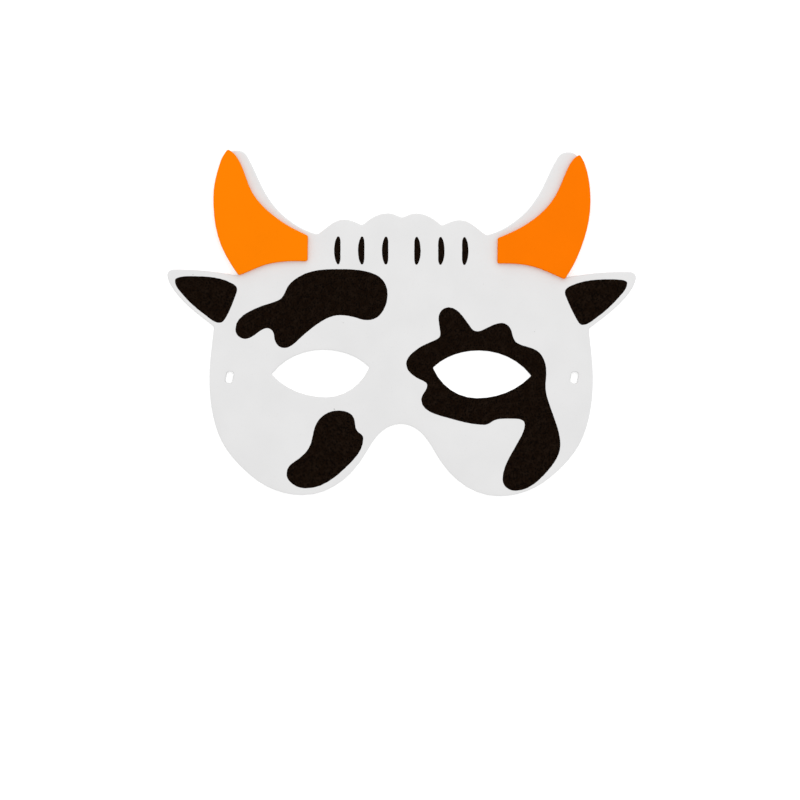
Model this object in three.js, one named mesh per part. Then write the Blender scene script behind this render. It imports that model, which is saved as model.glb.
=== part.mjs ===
// A flat cow half mask for a party or a play, lying on its back with its face up.
// One die-cut sheet of white foam carries two glued orange foam horns and printed black markings.
// Millimetres: +X is to the right as one looks at the face, +Y is up the face, +Z is out of it.
import * as THREE from 'three';

// Thicknesses, and the gaps between the layers
const SHEET_THICKNESS = 2.0;
const HORN_THICKNESS = 2.0;
const GLUE_GAP = 0.2;
const INK_THICKNESS = 0.1;
const INK_GAP = 0.05;

// Straight steps in each curved span of an outline, and the lean in degrees that still counts as straight
const SPAN_STEPS = 6;
const STRAIGHT_LEAN = 0.1;

const FOAM = { color: 0xe6e5e4, roughness: 0.85 };
const ORANGE_FOAM = { color: 0xff8200, roughness: 0.85 };
const INK = { color: 0x140c07, roughness: 0.6 };

// Outline tables: an outline runs anticlockwise from knot to knot. A smooth knot has one heading,
// in degrees from +X. A corner has the heading that the edge arrives with, the one that it leaves with,
// and the radius that rounds it.

// Right half of the sheet, from the nose arch round the cheek, ear and horn to the forelock
const SHEET_HALF = [
  { at: 'nose arch', x: 0, y: -45.2, heading: 0 },
  { at: 'nose side', x: 11.8, y: -52.1, heading: -54 },
  { at: 'lobe inside', x: 18.9, y: -63.2, heading: -54 },
  { at: 'lobe bottom', x: 44.2, y: -77.5, heading: 0 },
  { at: 'cheek', x: 67.2, y: -69.0, heading: 40 },
  { at: 'side low', x: 82.2, y: -50.0, heading: 69 },
  { at: 'side widest', x: 86.3, y: -25.0, heading: 90 },
  { at: 'ear root', x: 84.3, y: -1.9, arrive: 96, leave: 38, round: 1.4 },
  { at: 'ear low', x: 94.6, y: 6.2, heading: 41 },
  { at: 'ear high', x: 103.4, y: 15.9, heading: 57 },
  { at: 'ear tip', x: 106.4, y: 23.6, arrive: 72, leave: 178, round: 2.6 },
  { at: 'ear top', x: 92.0, y: 23.5, heading: 183 },
  { at: 'horn root', x: 73.5, y: 21.2, arrive: 188, leave: 56, round: 0.4 },
  { at: 'horn outside low', x: 77.7, y: 30.0, heading: 62 },
  { at: 'horn outside', x: 83.6, y: 56.0, heading: 90 },
  { at: 'horn tip outside', x: 79.6, y: 74.6, heading: 118 },
  { at: 'horn tip', x: 74.8, y: 77.5, heading: 180 },
  { at: 'horn tip inside', x: 70.2, y: 75.4, heading: 238 },
  { at: 'horn inside', x: 64.2, y: 63.3, heading: 245 },
  { at: 'horn waist', x: 54.1, y: 48.9, heading: 222 },
  { at: 'horn foot', x: 38.0, y: 39.9, arrive: 195, leave: 145, round: 2.2 },
  { at: 'outer lock', x: 26.2, y: 46.7, heading: 180 },
  { at: 'lock valley', x: 17.9, y: 44.0, arrive: 206, leave: 138, round: 1.6 },
  { at: 'inner lock', x: 6.4, y: 49.6, heading: 180 },
  { at: 'lock middle', x: 0, y: 47.6, arrive: 202, leave: 158, round: 2.2 },
];

const EYE_HOLE = [
  { at: 'inner corner', x: 14.3, y: -19.8, arrive: 223, leave: -66, round: 0.8 },
  { at: 'bottom', x: 34.0, y: -33.4, heading: 0 },
  { at: 'outer corner', x: 58.5, y: -23.2, arrive: 46, leave: 128, round: 0.5 },
  { at: 'top', x: 35.0, y: -12.0, heading: 180 },
];

const STRAP_SLOT = { width: 3.2, height: 5.2, round: 1.2 };
const STRAP_PLACE = {
  left: { x: -77.3, y: -24.6, turn: -12 },
  right: { x: 77.95, y: -23.95, turn: -10 },
};

// The horns are cut and glued by hand, so they differ a little
const HORN_LEFT = [
  { at: 'foot high', x: -42.25, y: 39.2, arrive: 89.5, leave: 155, round: 1.0 },
  { at: 'inside low', x: -53.9, y: 45.35, heading: 146 },
  { at: 'inside', x: -66.7, y: 57.4, heading: 123.5 },
  { at: 'inside high', x: -72.1, y: 70.1, heading: 113.5 },
  { at: 'tip', x: -78.5, y: 77.85, arrive: 151.5, leave: 235.5, round: 1.0 },
  { at: 'outside high', x: -81.6, y: 72.5, heading: 251.5 },
  { at: 'outside', x: -84.8, y: 56.7, heading: 269.5 },
  { at: 'outside low', x: -79.2, y: 30.4, heading: 299.5 },
  { at: 'lower tip', x: -73.3, y: 21.15, arrive: 306.5, leave: 21.5, round: 1.2 },
  { at: 'underside', x: -58.0, y: 26.85, heading: 10 },
  { at: 'foot low', x: -42.35, y: 27.7, arrive: -2.5, leave: 89.5, round: 1.0 },
];
const HORN_RIGHT = [
  { at: 'foot low', x: 42.95, y: 27.2, arrive: 269.5, leave: 1, round: 0.8 },
  { at: 'underside', x: 58.2, y: 26.1, heading: -13 },
  { at: 'lower tip', x: 73.3, y: 20.2, arrive: -23, leave: 57, round: 1.0 },
  { at: 'outside low', x: 79.0, y: 30.5, heading: 67 },
  { at: 'outside', x: 84.65, y: 55.0, heading: 90 },
  { at: 'outside high', x: 82.2, y: 71.4, heading: 109 },
  { at: 'tip', x: 79.7, y: 76.2, arrive: 123, leave: 207, round: 0.8 },
  { at: 'inside high', x: 73.5, y: 68.1, heading: 247 },
  { at: 'inside', x: 67.8, y: 56.0, heading: 236 },
  { at: 'inside low', x: 54.7, y: 44.1, heading: 211 },
  { at: 'foot high', x: 43.05, y: 38.5, arrive: 203, leave: 269.5, round: 0.8 },
];

const BROW_PATCH = [
  { at: 'top', x: -27.3, y: 24.3, heading: 180 },
  { at: 'top shoulder', x: -46.6, y: 20.6, heading: 213 },
  { at: 'neck', x: -51.8, y: 15.2, heading: 247 },
  { at: 'neck foot', x: -55.7, y: 10.0, heading: 203 },
  { at: 'arm top', x: -64.3, y: 7.0, heading: 203 },
  { at: 'arm end', x: -74.7, y: -2.9, heading: 270 },
  { at: 'arm bottom', x: -70.4, y: -7.3, heading: 0 },
  { at: 'crotch start', x: -64.6, y: -4.4, heading: 38 },
  { at: 'crotch', x: -60.3, y: -2.45, heading: 0 },
  { at: 'drop side', x: -57.2, y: -6.3, heading: -88 },
  { at: 'drop bottom', x: -52.7, y: -11.3, heading: 0 },
  { at: 'drop rise', x: -46.5, y: -7.7, heading: 44 },
  { at: 'belly', x: -36.4, y: 0.5, heading: 33 },
  { at: 'arch', x: -27.8, y: 3.6, heading: 0 },
  { at: 'lobe start', x: -20.5, y: 2.5, heading: -16 },
  { at: 'lobe bottom', x: -16.2, y: 1.45, heading: -2 },
  { at: 'lobe side', x: -10.1, y: 3.4, heading: 45 },
  { at: 'right end', x: -6.3, y: 13.2, heading: 90 },
  { at: 'right shoulder', x: -11.6, y: 21.9, heading: 155 },
];

const EYE_PATCH = [
  { at: 'first lobe', x: 21.2, y: 7.4, heading: 180 },
  { at: 'first lobe side', x: 16.7, y: 2.4, heading: 270 },
  { at: 'corner high', x: 17.5, y: -4.8, heading: 270 },
  { at: 'corner low', x: 15.7, y: -7.1, heading: 207 },
  { at: 'left lobe top', x: 7.4, y: -11.3, heading: 217 },
  { at: 'left lobe', x: 2.25, y: -18.1, heading: 270 },
  { at: 'left lobe foot', x: 8.0, y: -24.9, heading: 332 },
  { at: 'left notch', x: 11.7, y: -27.8, heading: 270 },
  { at: 'low lobe', x: 9.1, y: -34.2, heading: 270 },
  { at: 'low lobe foot', x: 20.2, y: -42.1, heading: 345 },
  { at: 'underside', x: 37.4, y: -45.4, heading: 0 },
  { at: 'step', x: 40.9, y: -44.0, heading: 35 },
  { at: 'hollow top', x: 48.5, y: -42.55, heading: 0 },
  { at: 'hollow corner', x: 55.75, y: -45.2, heading: 268 },
  { at: 'tail inside', x: 52.1, y: -54.2, heading: 242 },
  { at: 'tail end side', x: 45.85, y: -69.8, heading: 270 },
  { at: 'tail end', x: 51.6, y: -75.0, heading: 0 },
  { at: 'tail outside', x: 66.2, y: -65.9, heading: 49 },
  { at: 'tail widest', x: 71.8, y: -54.2, heading: 90 },
  { at: 'waist below', x: 67.8, y: -38.9, heading: 109 },
  { at: 'waist', x: 65.0, y: -28.2, heading: 91 },
  { at: 'shoulder side', x: 65.3, y: -21.5, heading: 91 },
  { at: 'shoulder', x: 60.9, y: -11.8, heading: 147 },
  { at: 'neck', x: 52.2, y: -8.5, heading: 149 },
  { at: 'second lobe side', x: 49.8, y: -4.0, heading: 103 },
  { at: 'second lobe', x: 45.2, y: 0.5, heading: 180 },
  { at: 'valley start', x: 39.2, y: -1.4, heading: 205 },
  { at: 'valley', x: 34.0, y: -3.35, heading: 180 },
  { at: 'valley end', x: 30.0, y: 0.1, heading: 126 },
];

const CHEEK_PATCH = [
  { at: 'top', x: -28.1, y: -39.3, heading: 180 },
  { at: 'left shoulder', x: -36.5, y: -43.0, heading: 228 },
  { at: 'left side', x: -39.6, y: -50.5, heading: 261 },
  { at: 'hollow', x: -43.3, y: -58.8, heading: 225 },
  { at: 'foot top', x: -49.0, y: -63.3, heading: 216 },
  { at: 'foot end', x: -51.3, y: -68.0, heading: 270 },
  { at: 'foot corner', x: -47.5, y: -73.2, heading: 330 },
  { at: 'bottom', x: -42.2, y: -74.35, heading: 0 },
  { at: 'right side', x: -25.0, y: -65.2, heading: 44 },
  { at: 'right end', x: -16.9, y: -51.7, heading: 92 },
  { at: 'step', x: -18.3, y: -49.6, heading: 147 },
  { at: 'step top', x: -20.5, y: -46.3, heading: 95 },
  { at: 'right shoulder', x: -21.2, y: -42.7, heading: 112 },
];

const EAR_PATCH_LEFT = [
  { at: 'top', x: -93.0, y: 20.75, heading: 180 },
  { at: 'tip top', x: -100.2, y: 20.2, heading: 196 },
  { at: 'tip', x: -101.95, y: 18.8, heading: 268 },
  { at: 'underside', x: -98.2, y: 12.2, heading: 310 },
  { at: 'underside low', x: -88.0, y: 3.1, heading: 324 },
  { at: 'lower tip', x: -82.0, y: -0.15, heading: 0 },
  { at: 'inside low', x: -79.2, y: 1.9, heading: 60 },
  { at: 'inside high', x: -74.6, y: 12.6, heading: 71 },
  { at: 'inner corner', x: -74.0, y: 15.0, heading: 92 },
  { at: 'top low', x: -76.8, y: 17.9, heading: 153 },
];

const EAR_PATCH_RIGHT = [
  { at: 'top', x: 94.0, y: 20.4, heading: 180 },
  { at: 'top low', x: 76.2, y: 17.4, heading: 205 },
  { at: 'inner corner', x: 73.45, y: 14.4, heading: 270 },
  { at: 'inside high', x: 74.4, y: 11.4, heading: 292 },
  { at: 'inside low', x: 79.3, y: 1.5, heading: 300 },
  { at: 'lower tip', x: 81.5, y: -0.2, heading: 0 },
  { at: 'underside low', x: 88.0, y: 3.3, heading: 36 },
  { at: 'underside', x: 98.0, y: 12.6, heading: 50 },
  { at: 'tip', x: 101.45, y: 18.6, heading: 90 },
  { at: 'tip top', x: 99.6, y: 20.0, heading: 170 },
];

// Two rows of three lens-shaped strokes below the forelock, each row bulging away from the middle
const STROKES = { middle: -0.25, y: 32.75, nearest: 6.85, pitch: 10.75, perSide: 3 };
const STROKE = { height: 14.0, outerBulge: 1.85, innerBulge: 1.0, innerFlat: 5.0, round: 0.62 };

const toDegrees = THREE.MathUtils.radToDeg;
const toRadians = THREE.MathUtils.degToRad;
const cosine = (heading) => Math.cos(toRadians(heading));
const sine = (heading) => Math.sin(toRadians(heading));

// Signed turn from one heading to another, between -180 and 180 degrees
function turnBetween(heading, next) {
  return THREE.MathUtils.euclideanModulo(next - heading + 180, 360) - 180;
}

function knotsOf(table) {
  return table.map(({ x, y, heading, arrive = heading, leave = heading, round = 0 }) => (
    { x, y, arrive, leave, round }
  ));
}

// Mirror image in the mask's middle line, still running anticlockwise
function mirrored(knots) {
  return knots.map(({ x, y, arrive, leave, round }) => (
    { x: -x, y, arrive: -leave, leave: -arrive, round }
  )).reverse();
}

// Turns knots about the origin, then moves them by x and y
function placed(knots, { x, y, turn = 0 }) {
  return knots.map((knot) => ({
    x: x + knot.x * cosine(turn) - knot.y * sine(turn),
    y: y + knot.x * sine(turn) + knot.y * cosine(turn),
    arrive: knot.arrive + turn,
    leave: knot.leave + turn,
    round: knot.round,
  }));
}

// A corner becomes the two ends of the arc that rounds it
function roundedCorner(knot) {
  const { x, y, arrive, leave, round } = knot;
  if (arrive === leave) return [knot];
  const trim = round * Math.tan(toRadians(Math.abs(turnBetween(arrive, leave))) / 2);
  return [
    { x: x - trim * cosine(arrive), y: y - trim * sine(arrive), arrive, leave: arrive },
    { x: x + trim * cosine(leave), y: y + trim * sine(leave), arrive: leave, leave },
  ];
}

function isStraight(from, to) {
  const way = toDegrees(Math.atan2(to.y - from.y, to.x - from.x));
  const leans = [turnBetween(from.leave, way), turnBetween(way, to.arrive)];
  return leans.every((lean) => Math.abs(lean) < STRAIGHT_LEAN);
}

// A cubic span, with handles as long as those of an arc that turns as far
function drawCurve(path, from, to) {
  const turn = toRadians(turnBetween(from.leave, to.arrive));
  const chord = Math.hypot(to.x - from.x, to.y - from.y);
  const handle = chord / (3 * Math.cos(turn / 4) ** 2);
  path.bezierCurveTo(
    from.x + handle * cosine(from.leave), from.y + handle * sine(from.leave),
    to.x - handle * cosine(to.arrive), to.y - handle * sine(to.arrive),
    to.x, to.y,
  );
}

function drawOutline(path, knots) {
  const ends = knots.flatMap(roundedCorner);
  path.moveTo(ends[0].x, ends[0].y);
  ends.forEach((from, i) => {
    const to = ends[(i + 1) % ends.length];
    if (isStraight(from, to)) path.lineTo(to.x, to.y);
    else drawCurve(path, from, to);
  });
  return path;
}

function layer(name, outline, holes, bottom, thickness, finish) {
  const shape = drawOutline(new THREE.Shape(), outline);
  shape.holes = holes.map((hole) => drawOutline(new THREE.Path(), hole));
  const extrusion = { depth: thickness, bevelEnabled: false, curveSegments: SPAN_STEPS };
  const geometry = new THREE.ExtrudeGeometry(shape, extrusion);
  const mesh = new THREE.Mesh(geometry, new THREE.MeshStandardMaterial({ ...finish, metalness: 0 }));
  mesh.name = name;
  mesh.position.z = bottom;
  return mesh;
}

function strapSlot(side) {
  const right = STRAP_SLOT.width / 2;
  const top = STRAP_SLOT.height / 2;
  const { round } = STRAP_SLOT;
  const corners = [
    { x: right, y: -top, arrive: 0, leave: 90, round },
    { x: right, y: top, arrive: 90, leave: 180, round },
    { x: -right, y: top, arrive: 180, leave: 270, round },
    { x: -right, y: -top, arrive: 270, leave: 360, round },
  ];
  return placed(corners, STRAP_PLACE[side]);
}

function faceSheet() {
  const half = knotsOf(SHEET_HALF);
  const otherHalf = mirrored(half.slice(1, -1));
  const eye = knotsOf(EYE_HOLE);
  const holes = [eye, mirrored(eye), strapSlot('left'), strapSlot('right')];
  return layer('face_sheet', [...half, ...otherHalf], holes, 0, SHEET_THICKNESS, FOAM);
}

function horn(name, outline) {
  return layer(name, outline, [], SHEET_THICKNESS + GLUE_GAP, HORN_THICKNESS, ORANGE_FOAM);
}

function print(name, outline, holes = []) {
  return layer(name, outline, holes, SHEET_THICKNESS + INK_GAP, INK_THICKNESS, INK);
}

// One stroke that bulges more on its right side, and has a straight stretch on its left side
function strokeOutline() {
  const { height, outerBulge, innerBulge, innerFlat, round } = STROKE;
  const outerLean = toDegrees(2 * Math.atan(2 * outerBulge / height));
  const innerLean = toDegrees(2 * Math.atan(2 * innerBulge / (height - innerFlat)));
  return [
    { x: 0, y: -height / 2, arrive: 270 + innerLean, leave: 90 - outerLean, round },
    { x: outerBulge, y: 0, arrive: 90, leave: 90, round: 0 },
    { x: 0, y: height / 2, arrive: 90 + outerLean, leave: 270 - innerLean, round },
    { x: -innerBulge, y: innerFlat / 2, arrive: 270, leave: 270, round: 0 },
    { x: -innerBulge, y: -innerFlat / 2, arrive: 270, leave: 270, round: 0 },
  ];
}

function forelockStrokes() {
  const right = strokeOutline();
  const { middle, y, nearest, pitch, perSide } = STROKES;
  return Array.from({ length: 2 * perSide }, (_, i) => {
    const side = i < perSide ? -1 : 1;
    const step = side < 0 ? perSide - 1 - i : i - perSide;
    const x = middle + side * (nearest + step * pitch);
    const outline = placed(side < 0 ? mirrored(right) : right, { x, y });
    return print(`forelock_mark_${i + 1}`, outline);
  });
}

const mask = new THREE.Group();
mask.add(
  faceSheet(),
  horn('horn_left', knotsOf(HORN_LEFT)),
  horn('horn_right', knotsOf(HORN_RIGHT)),
  print('brow_patch', knotsOf(BROW_PATCH)),
  print('eye_patch', knotsOf(EYE_PATCH), [knotsOf(EYE_HOLE)]),
  print('cheek_patch', knotsOf(CHEEK_PATCH)),
  print('ear_patch_left', knotsOf(EAR_PATCH_LEFT)),
  print('ear_patch_right', knotsOf(EAR_PATCH_RIGHT)),
  ...forelockStrokes(),
);

export default mask;
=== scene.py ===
import math

import bmesh
import bpy
from mathutils import Euler, Matrix, Vector, noise
from mathutils.bvhtree import BVHTree


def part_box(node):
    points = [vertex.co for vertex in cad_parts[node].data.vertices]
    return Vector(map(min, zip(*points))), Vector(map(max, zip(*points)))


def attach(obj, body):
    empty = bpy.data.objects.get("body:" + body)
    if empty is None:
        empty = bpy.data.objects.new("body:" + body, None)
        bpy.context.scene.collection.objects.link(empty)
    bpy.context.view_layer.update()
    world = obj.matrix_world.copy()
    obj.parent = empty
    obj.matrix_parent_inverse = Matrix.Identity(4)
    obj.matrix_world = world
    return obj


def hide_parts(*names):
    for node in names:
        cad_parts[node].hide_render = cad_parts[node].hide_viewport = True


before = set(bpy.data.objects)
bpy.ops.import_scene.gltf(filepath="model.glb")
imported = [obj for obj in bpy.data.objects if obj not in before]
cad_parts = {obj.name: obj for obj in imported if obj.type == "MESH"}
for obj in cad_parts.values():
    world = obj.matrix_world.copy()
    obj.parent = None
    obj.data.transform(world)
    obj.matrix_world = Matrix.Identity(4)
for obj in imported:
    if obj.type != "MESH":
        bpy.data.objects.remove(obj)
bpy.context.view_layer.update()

# Heights of the mask's layers, in metres
MM = 0.001
FACE_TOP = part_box("face_sheet")[1].z
HORN_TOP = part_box("horn_left")[1].z

# A level line that runs through every hole of the face
HOLES_LINE = -24.0 * MM

# Flat faces are divided into square cells, whose lines start half a cell off the middle
CELL = 4.0 * MM
CELL_START = 0.5
CELL_SNAP = 0.02 * MM

# Points nearer than the weld are one, and edges that bend more than this stay sharp
WELD = 0.001 * MM
SHARP_BEND = math.radians(40)

# Foam is flat at a point if its normals a small step to every side point this far up
FLAT_NORMAL = 0.997
FLAT_STEP = 0.005 * MM

# The die presses the front edge of every foam layer round
RIM_WIDTH = 0.65 * MM
RIM_DEPTH = 0.60 * MM
RIM_STEPS = 5

# The limp sheet lies a little wavy
WAVE_LENGTH = 34.0 * MM
WAVE_RISE = 0.12 * MM

# Where the limp foam lifts off the table, each a low round swell, in millimetres
SWELLS = {
    "left ear": {"x": -101, "y": 17, "reach": 18, "rise": 0.50},
    "right ear": {"x": 101, "y": 17, "reach": 18, "rise": 0.40},
    "left horn": {"x": -77, "y": 72, "reach": 20, "rise": 0.55},
    "right horn": {"x": 77, "y": 72, "reach": 20, "rise": 0.65},
    "left cheek": {"x": -46, "y": -76, "reach": 18, "rise": 0.30},
    "right cheek": {"x": 46, "y": -76, "reach": 18, "rise": 0.25},
    "forelock": {"x": 0, "y": 50, "reach": 15, "rise": 0.25},
}

# The printed films, by the solid that each stands for
PRINTS = {
    "brow_patch": "brow_print",
    "eye_patch": "eye_print",
    "cheek_patch": "cheek_print",
    "ear_patch_left": "ear_print_left",
    "ear_patch_right": "ear_print_right",
    **{f"forelock_mark_{i}": f"forelock_print_{i}" for i in range(1, 7)},
}

# A printed film: how far it stands above the foam and reaches into it, and how its edge wanders
INK_ABOVE = 0.035 * MM
INK_BELOW = 0.02 * MM
INK_EDGE_STEP = 0.5 * MM
INK_EDGE_WANDER = 0.07 * MM
INK_EDGE_WAVE = 1.1 * MM
INK_EDGE_SEED = 7

# Stray flecks of ink on the white foam, in millimetres
FLECKS = {
    "brow": {"x": 36.7, "y": 17.9, "size": 0.14},
    "right temple": {"x": 59.9, "y": -3.3, "size": 0.20},
    "left ear": {"x": -93.9, "y": 21.4, "size": 0.28},
    "left lid": {"x": -26.2, "y": 0.2, "size": 0.21},
    "left cheek": {"x": -30.0, "y": -38.7, "size": 0.35},
}
FLECK_SIDES = 9
FLECK_WANDER = 0.06 * MM
FLECK_WAVE = 0.3 * MM

# Linear colours
WHITE_FOAM = (0.7422, 0.7399, 0.7402)
ORANGE_LEFT = (0.93, 0.2085, 0.0002)
ORANGE_RIGHT = (0.92, 0.1805, 0.0002)
INK_DARK = (0.0063, 0.0026, 0.0009)
INK_WORN = (0.0126, 0.0071, 0.0041)
INK_SUNK = (0.0012, 0.0005, 0.0002)
INK_PINHOLE = (0.10, 0.085, 0.075)

# Shades of the foam, as shares of its colour: random clouds, and painted shade in the skin's pores and on
# the upright cut sides
CLOUD_DARK = 0.985
CLOUD_LIGHT = 1.015
# Painted shade: the skin's pores are darkened as if in their own shadow
PORE_PAINTED_SHADE = 0.86
# Painted shade: the upright cut sides are darkened as if their open cells shaded themselves
CUT_PAINTED_SHADE = 0.92

# Specular levels: how much of the light each surface mirrors
WHITE_GLOSS = 0.03
ORANGE_GLOSS = 0.02
INK_GLOSS = 0.02

# Roughness of the foam, and of the ink at its smoothest and its roughest
FOAM_ROUGH = 0.82
INK_LEAST_ROUGH = 0.60
INK_MOST_ROUGH = 0.78

# Patterns in the foam and the ink, with scales in cells or waves to a metre
SKIN_CELLS = {"Scale": 2600, "Smoothness": 0.5}
SKIN_PEEL = {"Scale": 750, "Detail": 3}
OPEN_CELLS = {"Scale": 1700}
PORES = {"Scale": 620}
CLOUDS = {"Scale": 55, "Detail": 4}
INK_MOTTLE = {"Scale": 380, "Detail": 5, "Roughness": 0.65}
INK_GRAIN = {"Scale": 1500, "Detail": 2}
PINHOLES = {"Scale": 330}
PINHOLE_CHANCE = 0.015

# The values between which a pattern begins to show and shows fully
CUT_SHOWS = (0.75, 0.35)
PORE_SHOWS = (0.10, 0.04)
CLOUD_SHOWS = (0.35, 0.65)
WORN_SHOWS = (0.42, 0.70)
SUNK_SHOWS = (0.47, 0.63)
PINHOLE_SHOWS = (0.09, 0.05)

# Relief of the grain, and the heights of the cells in it
FOAM_BUMP = {"Strength": 0.5, "Distance": 0.05 * MM}
INK_BUMP = {"Strength": 0.4, "Distance": 0.04 * MM}
SKIN_CELL_HEIGHT = 0.6
OPEN_CELL_HEIGHT = 2.2

# Light: the room all round and the soft lamp above the horns, each as bright as it makes white paper
ROOM = 0.93
LAMP = 0.17
LAMP_LEAN = Euler((math.radians(-30), math.radians(8), 0))
LAMP_AWAY = 1.0
LAMP_SPREAD = math.radians(60)

# The pale table, which glows a little
TABLE = 0.90
TABLE_GLOW = 0.28
TABLE_REACH = 12.0
TABLE_DROP = 0.05 * MM

# The camera looks straight down on the face
VIEW_CENTRE = Vector((-0.466 * MM, -34.428 * MM))
VIEW_WIDTH = 360.0 * MM
VIEW_TURN = math.radians(0.31)
LENS = 120.0
SENSOR = 36.0


# Foam and ink layers
def join_flat(bm):
    """Joins a flat sheet's triangles into large faces, parted by the line through its holes."""
    everything = [*bm.verts, *bm.edges, *bm.faces]
    parted = bmesh.ops.bisect_plane(
        bm, geom=everything, plane_co=(0, HOLES_LINE, 0), plane_no=(0, 1, 0), dist=WELD)["geom_cut"]
    inner = [edge for edge in bm.edges if not edge.is_boundary and edge not in parted]
    bmesh.ops.dissolve_edges(bm, edges=inner, use_verts=False, use_face_split=False)
    bmesh.ops.dissolve_verts(bm, verts=[vert for vert in bm.verts if not vert.is_boundary])


def upper_face(node):
    """A node's upper face alone, on a merged copy of its mesh."""
    bm = bmesh.new()
    bm.from_mesh(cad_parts[node].data)
    bmesh.ops.remove_doubles(bm, verts=bm.verts, dist=WELD)
    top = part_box(node)[1].z
    lower = [vert for vert in bm.verts if vert.co.z < top - WELD]
    bmesh.ops.delete(bm, geom=lower, context="VERTS")
    join_flat(bm)
    return bm


def flat_area(node):
    bm = upper_face(node)
    area = sum(face.calc_area() for face in bm.faces)
    bm.free()
    return area


def place_key(vert):
    return round(vert.co.x / WELD), round(vert.co.y / WELD)


def cut_places(node):
    """Where the points of a node's cut edges are."""
    bm = upper_face(node)
    places = {place_key(vert) for vert in bm.verts if vert.is_boundary}
    bm.free()
    return places


def raise_faces(bm, faces, height):
    verts = list({vert for face in faces for vert in face.verts})
    bmesh.ops.translate(bm, verts=verts, vec=(0, 0, height))


def thicken(bm, thickness):
    """Grows a sheet of faces upwards into a closed layer, and gives its new upper faces."""
    grown = bmesh.ops.extrude_face_region(bm, geom=bm.faces[:], use_keep_orig=True)["geom"]
    front = [part for part in grown if isinstance(part, bmesh.types.BMFace)]
    raise_faces(bm, front, thickness)
    return front


def rim_rings():
    """How far inwards and upwards each ring of the rounded edge goes."""
    turns = [math.radians(90) * step / RIM_STEPS for step in range(RIM_STEPS + 1)]
    for start, end in zip(turns, turns[1:]):
        inwards = RIM_WIDTH * (math.cos(start) - math.cos(end))
        upwards = RIM_DEPTH * (math.sin(end) - math.sin(start))
        yield inwards, upwards


def inset(bm, faces, width):
    """Insets faces as one region, and gives the ring of new faces round them."""
    return bmesh.ops.inset_region(
        bm, faces=faces, thickness=width, use_boundary=True, use_even_offset=True)["faces"]


def filled(bm, faces):
    """Fills large flat faces with triangles, inside the edges that insets have moved."""
    return bmesh.ops.triangulate(bm, faces=faces)["faces"]


def divide(bm, flat_faces):
    """Divides a layer into square cells, in place of the long triangles in its flat faces."""
    filler = bm.edges.layers.int.new("filler")
    flat = set(flat_faces)
    for edge in bm.edges:
        edge[filler] = len(edge.link_faces) == 2 and flat.issuperset(edge.link_faces)
    for axis in (0, 1):
        reach = [vert.co[axis] for vert in bm.verts]
        first = math.ceil(min(reach) / CELL - CELL_START)
        last = math.floor(max(reach) / CELL - CELL_START)
        across = Vector((axis == 0, axis == 1, 0))
        for line in range(first, last + 1):
            everything = [*bm.verts, *bm.edges, *bm.faces]
            place = across * (line + CELL_START) * CELL
            bmesh.ops.bisect_plane(bm, geom=everything, plane_co=place, plane_no=across, dist=CELL_SNAP)
    spare = [edge for edge in bm.edges if edge[filler]]
    bmesh.ops.dissolve_edges(bm, edges=spare, use_verts=False, use_face_split=False)
    left_over = [vert for vert in bm.verts if len(vert.link_edges) == 2 and not vert.is_boundary]
    bmesh.ops.dissolve_verts(bm, verts=left_over)
    bm.edges.layers.int.remove(filler)


def lift(point):
    """Height of the foam's back above the table."""
    height = WAVE_RISE * (1 + noise.noise(Vector((point.x, point.y, 0)) / WAVE_LENGTH))
    for swell in SWELLS.values():
        away = (point.xy - Vector((swell["x"], swell["y"])) * MM).length / (swell["reach"] * MM)
        height += swell["rise"] * MM * math.exp(-away * away / 2)
    return height


def foam_layer(node, bottom, top):
    """A limp sheet of foam in a node's outline, with upright sides and a rounded front edge."""
    bm = upper_face(node)
    for vert in bm.verts:
        vert.co.z = bottom
    back = bm.faces[:]
    front = thicken(bm, top - RIM_DEPTH - bottom)
    for inwards, upwards in rim_rings():
        inset(bm, front, inwards)
        raise_faces(bm, front, upwards)
    divide(bm, filled(bm, back + front))
    for vert in bm.verts:
        vert.co.z += lift(vert.co)
    bmesh.ops.recalc_face_normals(bm, faces=bm.faces)
    return bm


def below(point, foam):
    """The place and the normal of the foam below a point."""
    return foam.ray_cast(Vector((point.x, point.y, HORN_TOP)), Vector((0, 0, -1)))[:2]


def on_flat(vert, foam):
    """Whether the foam is flat on every side of a point, so not where the rounded edge begins."""
    sides = [Vector((x, y, 0)) * FLAT_STEP for x in (-1, 1) for y in (-1, 1)]
    return all(below(vert.co + side, foam)[1].z > FLAT_NORMAL for side in sides)


def wander(verts, reach, wave):
    """Shifts points sideways in small waves."""
    for vert in verts:
        vert.co.xy += noise.noise_vector(vert.co / wave).xy * reach


def wander_edge(bm, foam):
    """Gives a print's own edge the small waves of a screen print, but not where it meets a cut."""
    printed = [edge for edge in bm.edges if edge.is_boundary and on_flat(edge.verts[0], foam)]
    for edge in printed:
        cuts = int(edge.calc_length() / INK_EDGE_STEP)
        if cuts:
            bmesh.ops.bisect_edges(bm, edges=[edge], cuts=cuts)
    wander([vert for vert in bm.verts if on_flat(vert, foam)], INK_EDGE_WANDER, INK_EDGE_WAVE)


def join_rings(bm, rings, foam):
    """Joins rings of faces into one broad ring where the foam below is flat."""
    ring_of = {face: number for number, ring in enumerate(rings) for face in ring if face.is_valid}
    between = []
    for edge in bm.edges:
        sides = {ring_of.get(face) for face in edge.link_faces}
        if len(sides) == 2 and None not in sides and all(on_flat(vert, foam) for vert in edge.verts):
            between.append(edge)
    bmesh.ops.dissolve_edges(bm, edges=between, use_verts=True, use_face_split=False)


def follow_rim(bm, foam, cut_edge):
    """Ends a print just short of a cut, and rings it there as the foam's rounded edge is ringed."""
    inner = bm.faces[:]
    rings = [inset(bm, inner, inwards) for inwards, upwards in rim_rings()]
    past_cut = [face for face in rings[0] if any(place_key(vert) in cut_edge for vert in face.verts)]
    bmesh.ops.delete(bm, geom=past_cut, context="FACES")
    join_rings(bm, rings, foam)
    return filled(bm, inner)


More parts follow.
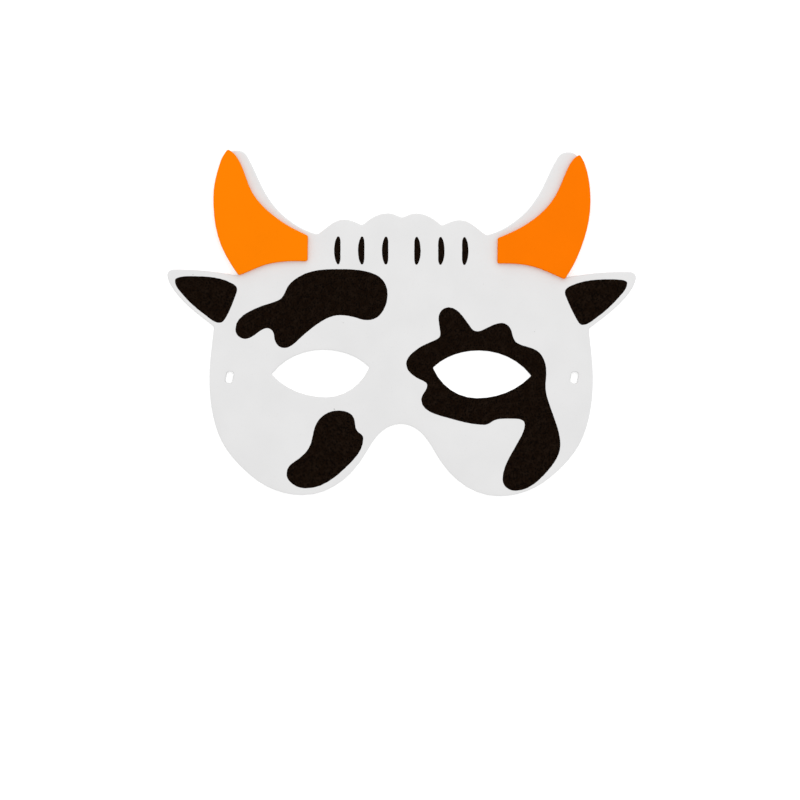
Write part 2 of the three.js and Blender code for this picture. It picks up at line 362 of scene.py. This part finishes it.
def lay_film(bm, foam):
    """Lays a flat shape on the foam as a thin closed film."""
    for vert in bm.verts:
        vert.co.z = below(vert.co, foam)[0].z - INK_BELOW
    thicken(bm, INK_BELOW + INK_ABOVE)
    bmesh.ops.recalc_face_normals(bm, faces=bm.faces)


def print_layer(node, foam, cut_edge):
    """A printed film in a node's outline, which bends down with the foam where it meets a cut."""
    bm = upper_face(node)
    meets_cut = any(place_key(vert) in cut_edge for vert in bm.verts)
    flat = follow_rim(bm, foam, cut_edge) if meets_cut else filled(bm, bm.faces[:])
    divide(bm, flat)
    wander_edge(bm, foam)
    lay_film(bm, foam)
    return bm


def fleck_layer(foam):
    bm = bmesh.new()
    for fleck in FLECKS.values():
        place = Matrix.Translation((fleck["x"] * MM, fleck["y"] * MM, 0))
        radius = fleck["size"] * MM / 2
        bmesh.ops.create_circle(bm, cap_ends=True, segments=FLECK_SIDES, radius=radius, matrix=place)
    wander(bm.verts, FLECK_WANDER, FLECK_WAVE)
    lay_film(bm, foam)
    return bm


def new_mesh(name, bm, material):
    mesh = bpy.data.meshes.new(name)
    bm.to_mesh(mesh)
    bm.free()
    mesh.materials.append(material)
    return mesh


def new_object(name, data):
    made = bpy.data.objects.new(name, data)
    bpy.context.scene.collection.objects.link(made)
    return made


def finished(name, bm, material, nodes=()):
    """Makes a layer a piece of the mask, in place of the solids that it stands for."""
    for face in bm.faces:
        face.smooth = True
    for edge in bm.edges:
        edge.smooth = edge.calc_face_angle(0) < SHARP_BEND
    mesh = new_mesh(name, bm, material)
    # The solid's own normals come along in its copy, and don't fit the new faces
    if "custom_normal" in mesh.attributes:
        mesh.attributes.remove(mesh.attributes["custom_normal"])
    piece = new_object(name, mesh)
    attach(piece, "root")
    if nodes:
        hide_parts(*nodes)
    return piece


# Finishes
def new_finish(name):
    material = bpy.data.materials.new(name)
    material.use_nodes = True
    return material, material.node_tree.nodes["Principled BSDF"]


def feed(tree, socket, value):
    """Links a socket to another node's socket, or sets its own value."""
    if isinstance(value, bpy.types.NodeSocket):
        tree.links.new(value, socket)
    else:
        socket.default_value = value


def add(tree, kind, settings=None, **inputs):
    node = tree.nodes.new("ShaderNode" + kind)
    for name, value in (settings or {}).items():
        setattr(node, name, value)
    for name, value in inputs.items():
        feed(tree, node.inputs[name.replace("_", " ")], value)
    return node


def maths(tree, operation, *values):
    node = add(tree, "Math", {"operation": operation})
    for socket, value in zip(node.inputs, values):
        feed(tree, socket, value)
    return node.outputs["Value"]


def mix(tree, kind, factor, first, second):
    """Mixes two numbers or two colours, by the sockets that are in use for that kind."""
    node = add(tree, "Mix", {"data_type": kind})
    in_use = [socket for socket in node.inputs if socket.enabled]
    for socket, value in zip(in_use, (factor, first, second)):
        feed(tree, socket, value)
    return next(socket for socket in node.outputs if socket.enabled)


def showing(tree, value, shows):
    """Goes from 0 where a pattern begins to show to 1 where it shows fully."""
    begins, fully = shows
    return add(tree, "MapRange", Value=value, From_Min=begins, From_Max=fully).outputs["Result"]


def shade(colour, share=1):
    """A share of a colour, with the opacity that a socket asks for."""
    return (*(channel * share for channel in colour), 1)


def skin_grain(tree, where):
    """Height of the foam's skin, which also shows in the ink."""
    cells = add(tree, "TexVoronoi", {"feature": "SMOOTH_F1"}, Vector=where, **SKIN_CELLS)
    peel = add(tree, "TexNoise", Vector=where, **SKIN_PEEL)
    cell_height = maths(tree, "MULTIPLY", cells.outputs["Distance"], SKIN_CELL_HEIGHT)
    return maths(tree, "ADD", cell_height, peel.outputs["Fac"])


def cut_sides(tree):
    """1 on the upright sides, which the die has cut, and 0 on the skin; it places their coarser grain and
    their painted shade.
    """
    normal = add(tree, "NewGeometry").outputs["Normal"]
    upwards = add(tree, "SeparateXYZ", Vector=normal).outputs["Z"]
    return showing(tree, maths(tree, "ABSOLUTE", upwards), CUT_SHOWS)


def foam_finish(name, colour, gloss):
    """Closed-cell foam: a cloudy skin of fine cells with a few open pores, and coarser where it is cut;
    painted shade darkens the pores and the upright cut sides.
    """
    material, shader = new_finish(name)
    tree = material.node_tree
    where = add(tree, "TexCoord").outputs["Object"]
    cut = cut_sides(tree)

    open_cells = add(tree, "TexVoronoi", Vector=where, **OPEN_CELLS)
    torn = maths(tree, "MULTIPLY", open_cells.outputs["Distance"], OPEN_CELL_HEIGHT)
    height = mix(tree, "FLOAT", cut, skin_grain(tree, where), torn)
    bump = add(tree, "Bump", Height=height, **FOAM_BUMP)

    clouds = add(tree, "TexNoise", Vector=where, **CLOUDS)
    cloud = showing(tree, clouds.outputs["Fac"], CLOUD_SHOWS)
    cloudy = mix(tree, "RGBA", cloud, shade(colour, CLOUD_DARK), shade(colour, CLOUD_LIGHT))
    pores = add(tree, "TexVoronoi", Vector=where, **PORES)
    pore = showing(tree, pores.outputs["Distance"], PORE_SHOWS)
    # Painted shade darkens the pores
    pore_shaded = mix(tree, "RGBA", pore, cloudy, shade(colour, PORE_PAINTED_SHADE))
    # Painted shade darkens the upright cut sides
    shaded = mix(tree, "RGBA", cut, pore_shaded, shade(colour, CUT_PAINTED_SHADE))

    tree.links.new(shaded, shader.inputs["Base Color"])
    tree.links.new(bump.outputs["Normal"], shader.inputs["Normal"])
    shader.inputs["Roughness"].default_value = FOAM_ROUGH
    shader.inputs["Specular IOR Level"].default_value = gloss
    return material


def pinhole_places(tree, where):
    """1 in the middle of the few cells that are a pinhole, and 0 elsewhere."""
    cells = add(tree, "TexVoronoi", Vector=where, **PINHOLES)
    middle = showing(tree, cells.outputs["Distance"], PINHOLE_SHOWS)
    draw = add(tree, "SeparateColor", Color=cells.outputs["Color"]).outputs["Red"]
    chosen = maths(tree, "GREATER_THAN", draw, 1 - PINHOLE_CHANCE)
    return maths(tree, "MULTIPLY", middle, chosen)


def ink_finish():
    """Matt printing ink, with the foam's grain in it and a few pinholes."""
    material, shader = new_finish("black_ink")
    tree = material.node_tree
    where = add(tree, "TexCoord").outputs["Object"]
    bump = add(tree, "Bump", Height=skin_grain(tree, where), **INK_BUMP)

    mottle = add(tree, "TexNoise", Vector=where, **INK_MOTTLE).outputs["Fac"]
    worn = mix(tree, "RGBA", showing(tree, mottle, WORN_SHOWS), shade(INK_DARK), shade(INK_WORN))
    grain = add(tree, "TexNoise", Vector=where, **INK_GRAIN).outputs["Fac"]
    sunk = mix(tree, "RGBA", showing(tree, grain, SUNK_SHOWS), worn, shade(INK_SUNK))
    pricked = mix(tree, "RGBA", pinhole_places(tree, where), sunk, shade(INK_PINHOLE))
    rough = add(tree, "MapRange", Value=mottle, To_Min=INK_LEAST_ROUGH, To_Max=INK_MOST_ROUGH)

    tree.links.new(pricked, shader.inputs["Base Color"])
    tree.links.new(rough.outputs["Result"], shader.inputs["Roughness"])
    tree.links.new(bump.outputs["Normal"], shader.inputs["Normal"])
    shader.inputs["Specular IOR Level"].default_value = INK_GLOSS
    return material


# The mask, with the same waves in its printed edges each time
noise.seed_set(INK_EDGE_SEED)
white = foam_finish("white_foam", WHITE_FOAM, WHITE_GLOSS)
orange = {
    "left": foam_finish("orange_foam_left", ORANGE_LEFT, ORANGE_GLOSS),
    "right": foam_finish("orange_foam_right", ORANGE_RIGHT, ORANGE_GLOSS),
}
ink = ink_finish()

face_layer = foam_layer("face_sheet", 0.0, FACE_TOP)
foam_surface = BVHTree.FromBMesh(face_layer)
cut_edge = cut_places("face_sheet")
for node, name in PRINTS.items():
    film = print_layer(node, foam_surface, cut_edge)
    finished(name, film, ink, [node])
finished("ink_flecks", fleck_layer(foam_surface), ink)
face = finished("face_foam", face_layer, white, ["face_sheet"])

for side in ("left", "right"):
    node = f"horn_{side}"
    layer = foam_layer(node, FACE_TOP, HORN_TOP)
    horn = finished(f"horn_foam_{side}", layer, orange[side], [node])
    flat_area(node)

flat_area("face_sheet")


# Floor, light and camera
def studio_floor():
    material, shader = new_finish("pale_floor")
    shader.inputs["Base Color"].default_value = (TABLE, TABLE, TABLE, 1)
    shader.inputs["Emission Color"].default_value = (1, 1, 1, 1)
    shader.inputs["Emission Strength"].default_value = TABLE_GLOW
    shader.inputs["Roughness"].default_value = 1.0
    shader.inputs["Specular IOR Level"].default_value = 0.0
    bm = bmesh.new()
    bmesh.ops.create_grid(bm, x_segments=1, y_segments=1, size=TABLE_REACH)
    bmesh.ops.translate(bm, verts=bm.verts, vec=(0, 0, -TABLE_DROP))
    floor = new_object("floor", new_mesh("floor", bm, material))


def studio_light():
    scene = bpy.context.scene
    scene.view_settings.view_transform = "Standard"
    scene.world = bpy.data.worlds.new("soft_room")
    scene.world.use_nodes = True
    background = scene.world.node_tree.nodes["Background"]
    background.inputs["Color"].default_value = (1, 1, 1, 1)
    background.inputs["Strength"].default_value = ROOM
    light = bpy.data.lights.new("soft_lamp", "AREA")
    light.shape = "DISK"
    light.size = 2 * LAMP_AWAY * math.tan(LAMP_SPREAD / 2)
    light.energy = LAMP * (math.pi * LAMP_AWAY / math.cos(LAMP_SPREAD / 2)) ** 2
    lamp = new_object("soft_lamp", light)
    lamp.rotation_euler = LAMP_LEAN
    lamp.location = LAMP_LEAN.to_matrix() @ Vector((0, 0, LAMP_AWAY))


def photo_camera():
    lens = bpy.data.cameras.new("camera")
    lens.lens = LENS
    lens.sensor_width = SENSOR
    camera = new_object("camera", lens)
    camera.location = (*VIEW_CENTRE, FACE_TOP + VIEW_WIDTH * LENS / SENSOR)
    camera.rotation_euler = (0, 0, VIEW_TURN)
    bpy.context.scene.camera = camera


studio_floor()
studio_light()
photo_camera()
